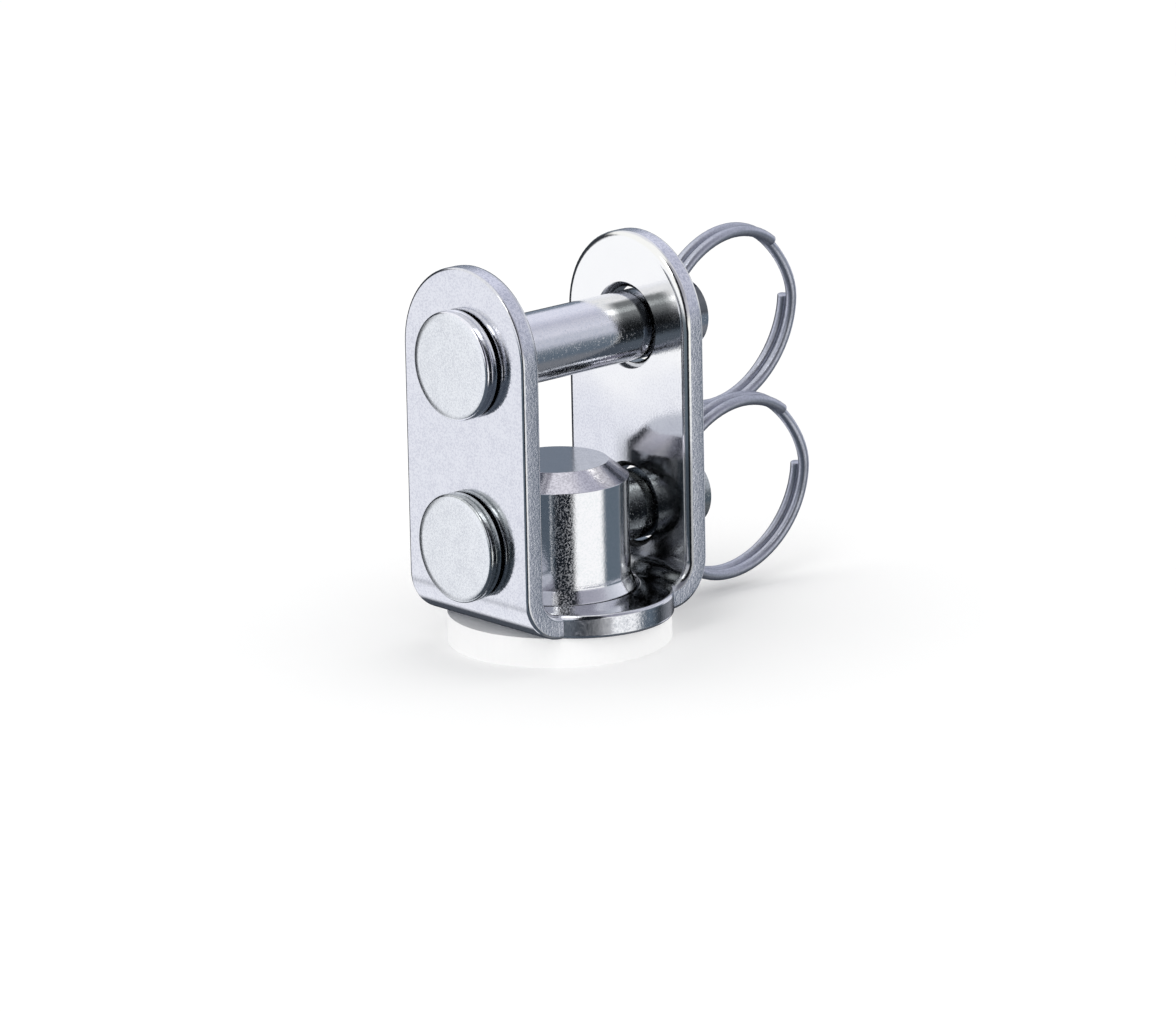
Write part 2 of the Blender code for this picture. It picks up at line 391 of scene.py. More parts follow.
RING_SIDE_EAR_PAINTED_LIGHT = RecolouredZone((Limit(ALONG_X, 4.0 * MM, 10.0 * MM), Limit(UPWARDS, 17.0 * MM, 31.0 * MM)),
                      drift=12.0 * MM, colour=(0.87, 0.87, 0.83))
# Painted shade: the inner side of the rings' side ear and its bend, low down on the front half by
# the post, is painted dark.
INSIDE_FOLD_PAINTED_SHADE = RecolouredZone((Limit(ALONG_X, 7.5 * MM, 9.5 * MM), Limit(ALONG_X, 11.7 * MM, 11.3 * MM),
                     Limit(UPWARDS, 19.5 * MM, 15.5 * MM), Limit(ACROSS, 3.0 * MM, -0.5 * MM)),
                    colour=(0.36, 0.37, 0.38), rougher=0.03)
SPECKLED_BAND = Zone((Limit(ROUND_POST, -0.9 * MM, -0.2 * MM),
                      Limit(ROUND_POST, 2.1 * MM, 1.5 * MM)))
IN_CHAMFERS = (Limit(ALONG_X, 10.82 * MM, 10.90 * MM), Limit(ALONG_X, 11.55 * MM, 11.50 * MM),
               Limit(ACROSS, -6.4 * MM, -6.0 * MM), Limit(ACROSS, 6.4 * MM, 6.0 * MM))
# Painted shade in the upper half of the upper pin hole's chamfer, on the inner side of the rings'
# side ear.
UPPER_CHAMFER_PAINTED_SHADE = RecolouredZone(IN_CHAMFERS + (Limit(UPWARDS, 27.5 * MM, 30.5 * MM),
                                     Limit(UPWARDS, 37.5 * MM, 37.0 * MM)),
                      colour=(0.38, 0.39, 0.41), rougher=0.06)
# Painted shade all round the lower pin hole's chamfer, on the inner side of the rings' side ear.
LOWER_CHAMFER_PAINTED_SHADE = RecolouredZone(IN_CHAMFERS + (Limit(UPWARDS, 16.2 * MM, 15.8 * MM),),
                      colour=(0.12, 0.12, 0.12), rougher=0.06)
# Painted reflection: a dark strip along the upper front of the shaft, from beside the post
# outwards.
PIN_PAINTED_REFLECTION = RecolouredZone((Limit(ALONG_X, 5.4 * MM, 7.6 * MM), Limit(PIN_FRONT, 20.95 * MM, 21.25 * MM)),
                  colour=(0.16, 0.17, 0.18), rougher=0.04)
# The rim is darker and rougher on its side towards the pin heads.
RIM_DARKER_LEFT = RecolouredZone((Limit(ALONG_X, -3.4 * MM, -4.4 * MM),), colour=(0.56, 0.57, 0.60), rougher=0.20)
RIM_SHADE = RecolouredZone((Limit(ALONG_X, 1.0 * MM, 3.0 * MM),), colour=(0.10, 0.11, 0.12), rougher=0.05)

STRAP_FACE = PlatedSteel(
    "strap_face", colour=(0.715, 0.725, 0.74), dull_colour=(0.61, 0.62, 0.655), roughness=0.07,
    dull_roughness=0.15, marks=Marks.ROLLED, grain_height=0.005 * MM, waviness=0.003 * MM,
    painted_light_and_tones=(RING_SIDE_EAR_PAINTED_LIGHT, INSIDE_FOLD_PAINTED_SHADE, UPPER_CHAMFER_PAINTED_SHADE, LOWER_CHAMFER_PAINTED_SHADE),
)
STRAP_EDGE = PlatedSteel(
    "strap_edge", colour=(0.80, 0.81, 0.87), dull_colour=(0.56, 0.58, 0.66), roughness=0.22,
    dull_roughness=0.30, marks=Marks.SHEARED, patch_size=0.9 * MM, speckle_size=0.26 * MM,
    grain_height=0.030 * MM, fleck_roughness=0.14,
)
BASE_RIM = PlatedSteel(
    "strap_rim", colour=(0.80, 0.81, 0.84), dull_colour=(0.60, 0.62, 0.66), roughness=0.10,
    dull_roughness=0.18, marks=Marks.SHEARED, patch_size=0.9 * MM, speckle_size=0.26 * MM,
    grain_height=0.016 * MM, fleck_roughness=0.18, painted_light_and_tones=(RIM_DARKER_LEFT, RIM_SHADE),
)
POST_STEEL = PlatedSteel(
    "post_steel_turned", colour=(0.84, 0.84, 0.86), dull_colour=(0.78, 0.80, 0.82),
    roughness=0.04, dull_roughness=0.07, marks=Marks.TURNED, patch_size=1.5 * MM,
    grain_height=0.010 * MM, fleck_size=0.21 * MM, fleck_roughness=0.36, fleck_share=0.85,
    fleck_zone=SPECKLED_BAND,
)
POST_CHAMFER = PlatedSteel(
    "post_steel_chamfered", colour=(0.66, 0.65, 0.70), dull_colour=(0.50, 0.49, 0.54),
    roughness=0.10, dull_roughness=0.20, marks=Marks.ROLLED, patch_size=1.2 * MM,
    grain_height=0.010 * MM,
)
POST_TOP = PlatedSteel(
    "post_steel_faced", colour=(0.56, 0.58, 0.62), dull_colour=(0.46, 0.48, 0.52),
    roughness=0.12, dull_roughness=0.20, marks=Marks.ROLLED, patch_size=1.5 * MM,
)
PIN_HEAD = PlatedSteel(
    "pin_head", colour=(0.80, 0.82, 0.81), dull_colour=(0.72, 0.74, 0.75), roughness=0.20,
    dull_roughness=0.28, marks=Marks.ROLLED,
)
PIN_SHAFT = PlatedSteel(
    "pin_shaft", colour=(0.84, 0.84, 0.87), dull_colour=(0.74, 0.76, 0.81), roughness=0.05,
    dull_roughness=0.09, marks=Marks.DRAWN, patch_size=1.5 * MM, grain_height=0.008 * MM,
    fleck_roughness=0.24, fleck_share=0.35, painted_light_and_tones=(PIN_PAINTED_REFLECTION,),
)
# Painted shade: a darker copy of the pin shaft's steel, for the lower pin that sits in shade
# between the post and the ears.
PAINTED_SHADE_SHAFT = PlatedSteel(
    "pin_shaft_dark", colour=(0.55, 0.58, 0.58), dull_colour=(0.38, 0.40, 0.41), roughness=0.08,
    dull_roughness=0.14, marks=Marks.DRAWN, patch_size=1.5 * MM, grain_height=0.012 * MM,
    fleck_roughness=0.2,
)
RING_WIRE = PlatedSteel(
    "ring_wire_drawn", colour=(0.52, 0.54, 0.61), dull_colour=(0.44, 0.46, 0.52),
    roughness=0.34, dull_roughness=0.42, marks=Marks.ROLLED, patch_size=1.5 * MM,
    grain_height=0.003 * MM,
)


class Axis(Enum):
    """The axis that a piece is turned about."""

    X = "x"
    Z = "z"

    def along(self, distance: float, centre: Triple = (0, 0, 0)) -> Vector:
        """The point at this distance from a centre along the axis."""
        step = (distance, 0, 0) if self is Axis.X else (0, 0, distance)
        return Vector(centre) + Vector(step)

    def across(self, ratio: float) -> Triple:
        """Scale factors that widen a ring about the axis."""
        return (1, ratio, ratio) if self is Axis.X else (ratio, ratio, 1)

    def turn(self) -> Triple:
        """Rotation that lays a new circle across the axis."""
        return (0, math.pi / 2, 0) if self is Axis.X else (0, 0, 0)


def arc(centre: tuple[float, float], radius: float, start: float, end: float,
        steps: int) -> Outline:
    """Points along an arc.

    Args:
        centre: The arc's centre, as (radius, along).
        radius: The arc's radius.
        start: Its first angle in degrees, from the direction of growing radius.
        end: Its last angle in degrees.
        steps: How many straight steps stand for it.

    Returns:
        The points, both ends included.
    """
    points = []
    for step in range(steps + 1):
        angle = math.radians(start + (end - start) * step / steps)
        points.append((centre[0] + radius * math.cos(angle), centre[1] + radius * math.sin(angle)))
    return points


MOUTH_ANGLES = (0, 30, 60)
MOUTH_SPREAD = 2.5
MOUTH_RISE = 0.4


def eased_mouth(hole: float, face: float, ease: float) -> Outline:
    """The end of a cutter that leaves a rounded edge where a hole meets a face.

    Args:
        hole: The hole's radius.
        face: Where the face is, along the hole.
        ease: The edge's radius.

    Returns:
        Points from the hole's wall to a little beyond the face.
    """
    points = []
    for angle in MOUTH_ANGLES:
        turn = math.radians(angle)
        points.append((hole + ease * (1 - math.cos(turn)), face - ease * (1 - math.sin(turn))))
    points.append((hole + MOUTH_SPREAD * ease, face + MOUTH_RISE * ease))
    return points


def flipped(outline: Outline) -> Outline:
    """The same outline mirrored along its axis, in the other order."""
    return [(radius, -along) for radius, along in reversed(outline)]


class Element(Enum):
    """What pick selects."""

    VERTICES = "VERT"
    EDGES = "EDGE"


class Workpiece:
    """One mesh object that is shaped with the modelling operators."""

    smooth_angle: ClassVar[float] = math.radians(32)
    normal_weight: ClassVar[int] = 50

    def __init__(self, name: str) -> None:
        """Take over the primitive that has just been added.

        Args:
            name: The name that the object and its mesh get.
        """
        self.obj = bpy.context.active_object
        self.obj.name = name
        self.obj.data.name = name
        bpy.ops.object.transform_apply(location=True, rotation=True, scale=True)

    @classmethod
    def disc(cls, name: str, radius: float, sides: int, centre: Vector,
             rotation: Triple = (0, 0, 0)) -> "Workpiece":
        """Start from a filled circle at its size and place.

        Args:
            name: The new object's name.
            radius: The circle's radius.
            sides: How many corners it has.
            centre: Its middle.
            rotation: Its turns about X, Y and Z. Unturned it lies flat.

        Returns:
            The circle, as one face.
        """
        bpy.ops.object.select_all(action="DESELECT")
        bpy.ops.mesh.primitive_circle_add(vertices=sides, radius=radius, fill_type="NGON",
                                          location=centre, rotation=rotation)
        return cls(name)

    @classmethod
    def turned(cls, name: str, outline: Outline, axis: Axis, sides: int,
               centre: Triple = (0, 0, 0)) -> "Workpiece":
        """Draw a disc out along an axis, ring by ring.

        Args:
            name: The new object's name.
            outline: (radius, along) from the first end face to the last.
            axis: The axis that it is turned about.
            sides: Facets round the axis.
            centre: The point that distances along the axis are taken from.

        Returns:
            The closed piece.
        """
        radius, along = outline[0]
        piece = cls.disc(name, radius, sides, axis.along(along, centre), axis.turn())
        with piece.editing():
            for next_radius, next_along in outline[1:]:
                step = axis.along(next_along - along)
                bpy.ops.mesh.extrude_region_move(TRANSFORM_OT_translate={"value": step})
                bpy.ops.transform.resize(value=axis.across(next_radius / radius),
                                         center_override=axis.along(next_along, centre))
                radius, along = next_radius, next_along
            piece.face_outwards()
        return piece

    def choose(self) -> None:
        """Select this object alone, and make it the active one."""
        bpy.ops.object.select_all(action="DESELECT")
        self.obj.select_set(True)
        bpy.context.view_layer.objects.active = self.obj

    @contextmanager
    def editing(self) -> Iterator[None]:
        """Hold this object alone in edit mode while the caller works on it."""
        self.choose()
        bpy.ops.object.mode_set(mode="EDIT")
        yield
        bpy.ops.object.mode_set(mode="OBJECT")

    def pick(self, kind: Element, test: Callable[[Any], bool]) -> None:
        """Select what passes a test, in edit mode.

        Args:
            kind: What to select.
            test: Says of one vertex or edge whether it is wanted.
        """
        bpy.ops.mesh.select_mode(type=kind.value)
        bpy.ops.mesh.select_all(action="DESELECT")
        mesh = bmesh.from_edit_mesh(self.obj.data)
        for element in mesh.verts if kind is Element.VERTICES else mesh.edges:
            if test(element):
                element.select_set(True)
        mesh.select_flush_mode()
        bmesh.update_edit_mesh(self.obj.data)

    def face_outwards(self) -> None:
        """Turn every face outwards, in edit mode."""
        bpy.ops.mesh.select_all(action="SELECT")
        bpy.ops.mesh.normals_make_consistent(inside=False)

    def apply(self, kind: str, **settings: Any) -> None:
        """Add one modifier and apply it.

        Args:
            kind: The modifier's type name.
            **settings: Its settings by name.
        """
        self.choose()
        modifier = self.obj.modifiers.new(kind.lower(), kind)
        for name, value in settings.items():
            setattr(modifier, name, value)
        bpy.ops.object.modifier_apply(modifier=modifier.name)

    def cut(self, cutter: "Workpiece") -> None:
        """Take a cutter out of this piece, and throw the cutter away."""
        self.apply("BOOLEAN", operation="DIFFERENCE", solver="EXACT", object=cutter.obj)
        bpy.data.objects.remove(cutter.obj, do_unlink=True)

    def tilt(self, angle: float, centre: Triple, axis: Axis = Axis.X) -> None:
        """Turn the whole mesh by an angle about the line through a centre along an axis."""
        self.obj.data.transform(Matrix.Translation(centre) @ Matrix.Rotation(angle, 4, axis.name)
                                @ Matrix.Translation(-Vector(centre)))

    def finish(self, materials: list[bpy.types.Material]) -> None:
        """Shade the piece smooth apart from its real edges, and dress it.

        Args:
            materials: The material of each slot, in order.
        """
        self.choose()
        bpy.ops.object.shade_smooth_by_angle(angle=self.smooth_angle)
        self.apply("WEIGHTED_NORMAL", keep_sharp=True, weight=self.normal_weight)
        slots = self.obj.data.materials
        for index, material in enumerate(materials):
            if index < len(slots):
                slots[index] = material
            else:
                slots.append(material)

    def hand_over(self, body: str, node: str, slot: str) -> None:
        """Set the piece on its CAD body, in place of its CAD node.

        Args:
            body: The body that it moves with.
            node: The CAD node that it stands for.
            slot: The name of its material slot; not used.
        """
        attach(self.obj, body)
        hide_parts(node)
        faces = len(self.obj.data.polygons)
        log.info("%s rides on %s in place of %s, %d faces", self.obj.name, body, node, faces)


@dataclass(frozen=True)
class CrossHole:
    """A hole right through a round piece, with a countersunk mouth at each end."""

    axis: Axis
    radius: float
    countersink: float
    cone_depth: float
    mouth_depth: float
    sides: int

    def cut_through(self, piece: Workpiece, surface: float, centre: Triple) -> None:
        """Cut the hole.

        Args:
            piece: The round piece.
            surface: The piece's radius.
            centre: The middle of the hole.
        """
        wide = self.radius + self.countersink
        mouth = [(self.radius, surface - self.cone_depth), (wide, surface - self.mouth_depth),
                 (wide, surface + MM)]
        piece.cut(Workpiece.turned("cross_hole_cutter", flipped(mouth) + mouth, self.axis,
                                   self.sides, centre))


@dataclass(frozen=True)
class Layout:
    """Sizes that more than one piece shares."""

    ear_inner_x: float = 10.8 * MM
    ear_outer_x: float = 13.5 * MM
    ear_height: float = 41.4 * MM
    thickness: float = 2.7 * MM
    lower_pin_height: float = 9.87 * MM
    upper_pin_height: float = 30.65 * MM
    pin_hole_radius: float = 4.32 * MM
    pin_hole_chamfer: float = 0.60 * MM
    hole_above_pin: float = 0.05 * MM
    pin_radius: float = 3.97 * MM
    ring_hole_x: float = 16.7 * MM
    lean: float = math.radians(7.0)
    seat_gap: float = 0.3 * MM


LAYOUT = Layout()


@dataclass
class Strap:
    """The strap: a base that bulges out on two sides, and an ear folded up at each end."""

    half_width: float = 9.95 * MM
    base_reach: float = 14.0 * MM
    bend_outer_radius: float = 5.2 * MM
    inner_edge: float = 0.9 * MM
    outer_edge: float = 0.4 * MM
    hole_edge: float = 0.3 * MM
    base_hole_edge: float = 0.15 * MM
    base_hole_radius: float = 9.05 * MM
    blank_sides: int = 96
    bend_steps: int = 12
    end_steps: int = 20
    edge_steps: int = 5
    hole_sides: int = 96
    cone_ease: ClassVar[float] = 0.06 * MM
    cone_lip: ClassVar[float] = 0.09 * MM
    cone_end: ClassVar[float] = 0.12 * MM
    cutter_spread: ClassVar[float] = 0.4 * MM
    cutter_rise: ClassVar[float] = 0.3 * MM
    edge_slot: ClassVar[int] = 1
    rim_slot: ClassVar[int] = 2
    near: ClassVar[float] = 0.01 * MM
    merge_distance: ClassVar[float] = 0.0005 * MM

    @property
    def bend_x(self) -> float:
        """Where the base ends and the bends begin."""
        return LAYOUT.ear_outer_x - self.bend_outer_radius

    @property
    def bulge_radius(self) -> float:
        """Radius of the base's bulges, which meet the ears flush where the bends begin."""
        bulge = self.base_reach - self.half_width
        return (self.bend_x ** 2 + bulge ** 2) / (2 * bulge)

    @property
    def bend_length(self) -> float:
        """How much of the flat blank goes into one bend, at the middle of its metal."""
        return (self.bend_outer_radius - LAYOUT.thickness / 2) * math.pi / 2

    def build(self) -> Workpiece:
        """Model the strap and dress it.

        Returns:
            The finished strap.
        """
        strap = self._blank()
        strap.apply("SOLIDIFY", thickness=LAYOUT.thickness, offset=0.0,
                    material_offset_rim=self.edge_slot)
        self._round_edges(strap)
        self._fold(strap)
        for height in (LAYOUT.lower_pin_height, LAYOUT.upper_pin_height):
            strap.cut(self._pin_hole_cutter(height + LAYOUT.hole_above_pin))
        strap.cut(self._base_hole_cutter())
        strap.finish([STRAP_FACE.build(), STRAP_EDGE.build(), BASE_RIM.build()])
        for face in strap.obj.data.polygons:
            if face.material_index == self.edge_slot and abs(face.center.x) < self.bend_x:
                face.material_index = self.rim_slot
        return strap

    def _blank(self) -> Workpiece:
        """Draw the flat blank's outline.

        Returns:
            A sheet with no thickness, at the middle of the blank's metal.
        """
        middle = LAYOUT.thickness / 2
        strap = Workpiece.disc("folded_strap", self.bulge_radius, self.blank_sides,
                               Vector((0, 0, middle)))
        # Solidify gives its rim the next material slot, so both slots have to be there.
        for name in ("sheet", "rim"):
            strap.obj.data.materials.append(bpy.data.materials.new(name))
        with strap.editing():
            for side in (-1, 1):
                strap.pick(Element.VERTICES, lambda vert, side=side: side * vert.co.y > self.near)
                shift = side * (self.base_reach - self.bulge_radius)
                bpy.ops.transform.translate(value=(0, shift, 0))
            for side in (-1, 1):
                bpy.ops.mesh.select_all(action="SELECT")
                bpy.ops.mesh.bisect(plane_co=(side * self.bend_x, 0, 0), plane_no=(side, 0, 0),
                                    clear_outer=True, threshold=self.merge_distance)
            self._square_corners(strap)
            for side in (-1, 1):
                self._draw_out_ear(strap, side)
            bpy.ops.mesh.select_all(action="SELECT")
            bpy.ops.mesh.remove_doubles(threshold=self.merge_distance)
            bpy.ops.mesh.select_mode(type="FACE")
            bpy.ops.mesh.select_all(action="SELECT")
            bpy.ops.mesh.dissolve_faces()
            strap.face_outwards()
        return strap

    def _square_corners(self, strap: Workpiece) -> None:
        """Widen the base's ends, which the circle's facets leave a hair short, to the ears.

        Args:
            strap: The blank without its ears, in edit mode.
        """
        strap.pick(Element.VERTICES, lambda vert: abs(abs(vert.co.x) - self.bend_x) < self.near)
        corners = [abs(vert.co.y) for vert in bmesh.from_edit_mesh(strap.obj.data).verts
                   if vert.select]
        bpy.ops.transform.resize(value=(1, self.half_width / max(corners), 1),
                                 center_override=(0, 0, LAYOUT.thickness / 2))

    def _draw_out_ear(self, strap: Workpiece, side: int) -> None:
        """Draw one ear out flat from the base, and round its end.

        Args:
            strap: The blank, in edit mode.
            side: -1 for the ear on the heads' side, 1 for the one on the rings' side.
        """
        edge_x = side * self.bend_x

        def on_fold(edge: bmesh.types.BMEdge) -> bool:
            """Whether an edge is the one that the ear grows from."""
            return all(abs(vert.co.x - edge_x) < self.near
                       and abs(vert.co.y) < self.half_width + self.near for vert in edge.verts)

        strap.pick(Element.EDGES, on_fold)
        reach = self.bend_length + LAYOUT.ear_height - self.bend_outer_radius
        bpy.ops.mesh.extrude_region_move(TRANSFORM_OT_translate={"value": (side * reach, 0, 0)})
        end_x = edge_x + side * reach
        strap.pick(Element.VERTICES, lambda vert: abs(vert.co.x - end_x) < self.near)
        bpy.ops.mesh.bevel(affect="VERTICES", offset=self.half_width, segments=self.end_steps,
                           profile=0.5, clamp_overlap=False)

    def _round_edges(self, strap: Workpiece) -> None:
        """Round the outline's edges: widest on the ears' inner side, least round the base.

        Args:
            strap: The flat blank at its full thickness.
        """
        narrow = self.outer_edge / self.inner_edge
        with strap.editing():
            for height, on_ears, share in ((0.0, False, narrow), (LAYOUT.thickness, False, narrow),
                                           (LAYOUT.thickness, True, 1.0)):
                def on_outline(edge: bmesh.types.BMEdge, height: float = height,
                               on_ears: bool = on_ears) -> bool:
                    """Whether an edge runs between the rim and the face at this height.

                    Args:
                        edge: The edge.
                        height: The face's height.
                        on_ears: Whether only the ears' edges are wanted.

                    Returns:
                        True if it does.
                    """
                    kinds = {face.material_index for face in edge.link_faces}
                    middle = (edge.verts[0].co + edge.verts[1].co) / 2
                    return (len(kinds) == 2 and abs(middle.z - height) < self.near
                            and (not on_ears or abs(middle.x) > self.bend_x + self.near))

                strap.pick(Element.EDGES, on_outline)
                bpy.ops.transform.edge_bevelweight(value=-1.0)
                bpy.ops.transform.edge_bevelweight(value=share)
        strap.apply("BEVEL", width=self.inner_edge, segments=self.edge_steps,
                    limit_method="WEIGHT", use_clamp_overlap=False, material=0)

    def _fold(self, strap: Workpiece) -> None:
        """Cut the blank across at its bends, and lay its ends round them.

        Args:
            strap: The flat blank with its edges rounded.
        """
        with strap.editing():
            for side in (-1, 1):
                for step in range(self.bend_steps + 1):
                    place = side * (self.bend_x + self.bend_length * step / self.bend_steps)
                    bpy.ops.mesh.select_all(action="SELECT")
                    bpy.ops.mesh.bisect(plane_co=(place, 0, 0), plane_no=(1, 0, 0),
                                        threshold=self.merge_distance)
            bpy.ops.mesh.select_all(action="SELECT")
            bpy.ops.mesh.remove_doubles(threshold=self.merge_distance)
            bpy.ops.mesh.dissolve_degenerate(threshold=self.merge_distance)
            # Bend needs a window, so the vertices are laid round the bends here.
            mesh = bmesh.from_edit_mesh(strap.obj.data)
            for vert in mesh.verts:
                vert.co = self._folded(vert.co)
            bmesh.update_edit_mesh(strap.obj.data)
            strap.face_outwards()

    def _folded(self, point: Vector) -> Vector:
        """Where a point of the flat blank goes when its ends are folded up.

        Args:
            point: The point on the flat blank.

        Returns:
            The point on the folded strap.
        """
        side = math.copysign(1, point.x)
        reach = abs(point.x) - self.bend_x
        if reach <= 0:
            return point.copy()
        radius = self.bend_outer_radius - point.z
        angle = min(reach / self.bend_length, 1.0) * math.pi / 2
        rise = max(reach - self.bend_length, 0.0)
        return Vector((side * (self.bend_x + radius * math.sin(angle)), point.y,
                       self.bend_outer_radius - radius * math.cos(angle) + rise))

    def _pin_hole_cutter(self, height: float) -> Workpiece:
        """A cutter for one pin's holes in both ears, with their edges eased.

        Args:
            height: How high the holes' axis is.

        Returns:
            The cutter.
        """
        hole, inner, cone = LAYOUT.pin_hole_radius, LAYOUT.ear_inner_x, LAYOUT.pin_hole_chamfer
        wide, deep = hole + cone, inner + cone
        chamfer = [(wide + self.cutter_spread, inner - self.cutter_rise),
                   (wide + self.cone_ease, inner), (wide - self.cone_ease, inner + self.cone_lip),
                   (hole + self.cone_ease, deep), (hole, deep + self.cone_end)]
        half = chamfer + eased_mouth(hole, LAYOUT.ear_outer_x, self.hole_edge)
        return Workpiece.turned("pin_hole_cutter", flipped(half) + half, Axis.X, self.hole_sides,
                                (0, 0, height))

    def _base_hole_cutter(self) -> Workpiece:
        """A cutter for the hole that the post's foot stands in.

        Returns:
            The cutter, which reaches below the base.
        """
        outline = [(self.base_hole_radius, -MM)]
        outline += eased_mouth(self.base_hole_radius, LAYOUT.thickness, self.base_hole_edge)
        return Workpiece.turned("base_hole_cutter", outline, Axis.Z, self.hole_sides)


@dataclass
class Post:
    """The turned post that stands in the base, with its chamfered top and flared foot."""

    radius: float = 8.1 * MM
    top: float = 17.2 * MM
    chamfer_width: float = 2.3 * MM
    chamfer_depth: float = 1.9 * MM
    foot_radius: float = 8.75 * MM
    shoulder_rise: float = 1.4 * MM
    edge: float = 0.12 * MM
    sides: int = 128
    cross_hole: CrossHole = CrossHole(
        axis=Axis.X, radius=4.35 * MM, countersink=0.35 * MM, cone_depth=1.55 * MM,
        mouth_depth=1.2 * MM, sides=96)
    flare: ClassVar[Outline] = [(0.08, 0.06), (0.90, 0.88), (0.97, 0.96)]
    neck_rise: ClassVar[float] = 0.10
    edge_steps: ClassVar[int] = 3
    corner_drop: ClassVar[float] = 0.5
    shelf_inset: ClassVar[float] = 0.3
    level_normal: ClassVar[float] = 0.98
    chamfer_slot: ClassVar[int] = 1
    top_slot: ClassVar[int] = 2

    def build(self) -> Workpiece:
        """Model the post and dress it.

        Returns:
            The finished post.
        """
        post = Workpiece.turned("turned_post", self._outline(), Axis.Z, self.sides)
        self.cross_hole.cut_through(post, self.radius, (0, 0, LAYOUT.lower_pin_height))
        post.finish([POST_STEEL.build(), POST_CHAMFER.build(), POST_TOP.build()])
        for face in post.obj.data.polygons:
            if face.center.z > self.top - self.chamfer_depth:
                level = face.normal.z > self.level_normal
                face.material_index = self.top_slot if level else self.chamfer_slot
        return post

    def _outline(self) -> Outline:
        """The post's outline.

        Returns:
            Points from its foot to its top.
        """
        foot, body, edge = self.foot_radius, self.radius, self.edge
        base, rise = LAYOUT.thickness, self.shoulder_rise
        slope = math.degrees(math.atan2(self.chamfer_width, self.chamfer_depth))
        outline = [(foot - edge, 0.0), (foot, edge), (foot, base - edge * self.corner_drop)]
        outline += [(foot - (foot - body) * inward, base + rise * upward)
                    for inward, upward in self.flare]
        outline += [(body, base + rise + rise * self.neck_rise)]
        corner = self.top - self.chamfer_depth
        outline += arc((body - edge, corner - edge * self.corner_drop), edge, 0, 90 - slope,
                       self.edge_steps)
        shelf = body - self.chamfer_width
        outline += arc((shelf - edge * self.shelf_inset, self.top - edge), edge, 90 - slope, 90,
                       self.edge_steps)
        return outline


@dataclass
class ClevisPin:
    """A headed pin along X with a domed tip and a cross hole for its split ring."""

    side: str
    height: float
    shaft_finish: PlatedSteel
    head_radius: float = 6.15 * MM
    head_thickness: float = 1.6 * MM
    face_round: float = 0.42 * MM
    under_round: float = 0.15 * MM
    groove_place: float = 0.62 * MM
    groove_depth: float = 0.22 * MM
    groove_width: float = 0.34 * MM
    tip_beyond_ear: float = 7.5 * MM
    dome_height: float = 1.2 * MM
    sides: int = 96
    ring_hole: CrossHole = CrossHole(
        axis=Axis.Z, radius=2.02 * MM, countersink=0.25 * MM, cone_depth=0.75 * MM,
        mouth_depth=0.4 * MM, sides=48)
    face_middle: ClassVar[float] = 0.35
    face_dish: ClassVar[float] = 0.01 * MM
    dish_inset: ClassVar[float] = 2.2
    face_arc: ClassVar[tuple[float, float, int]] = (-72, 0, 6)
    under_steps: ClassVar[int] = 3
    dome_steps: ClassVar[int] = 10
    dome_middle: ClassVar[float] = 0.04
    face_slack: ClassVar[float] = 0.05 * MM

    @property
    def under_head_x(self) -> float:
        """Where the head's underside is."""
        return -(LAYOUT.ear_outer_x + LAYOUT.seat_gap)

    def build(self) -> Workpiece:
        """Model the pin and dress it.

        Returns:
            The finished pin.
        """
        centre = (0, 0, self.height)
        pin = Workpiece.turned(self.side + "_clevis_pin", self._outline(), Axis.X, self.sides,
                               centre)
        self.ring_hole.cut_through(pin, LAYOUT.pin_radius, (LAYOUT.ring_hole_x, 0, self.height))
        pin.tilt(LAYOUT.lean, centre)
        pin.finish([PIN_HEAD.build(), self.shaft_finish.build()])
        face_end = self.under_head_x - self.head_thickness + self.face_slack
        for face in pin.obj.data.polygons:
            face.material_index = int(face.center.x > face_end)
        return pin

    def _outline(self) -> Outline:
        """The pin's outline.

        Returns:
            Points from its head's face to its tip.
        """
        under, head, soft = self.under_head_x, self.head_radius, self.face_round
        face = under - self.head_thickness
        outline = [(self.face_middle * head, face),
                   (head - soft * self.dish_inset, face + self.face_dish)]
        outline += arc((head - soft, face + soft), soft, *self.face_arc)
        groove, depth, width = under - self.groove_place, self.groove_depth, self.groove_width
        outline += [(head, groove - width / 2), (head - depth, groove - width / 4),
                    (head - depth, groove + width / 4), (head, groove + width / 2)]
        outline += arc((head - self.under_round, under - self.under_round), self.under_round,
                       0, 90, self.under_steps)
        shaft = LAYOUT.pin_radius
        outline += [(shaft, under)]
        tip = LAYOUT.ear_outer_x + self.tip_beyond_ear
        dome = (shaft ** 2 + self.dome_height ** 2) / (2 * self.dome_height)
        reach = math.asin(shaft / dome)
        for step in range(self.dome_steps):
            angle = reach * (1 - step / self.dome_steps)
            outline.append((dome * math.sin(angle), tip - dome * (1 - math.cos(angle))))
        outline.append((self.dome_middle * shaft, tip))
        return outline


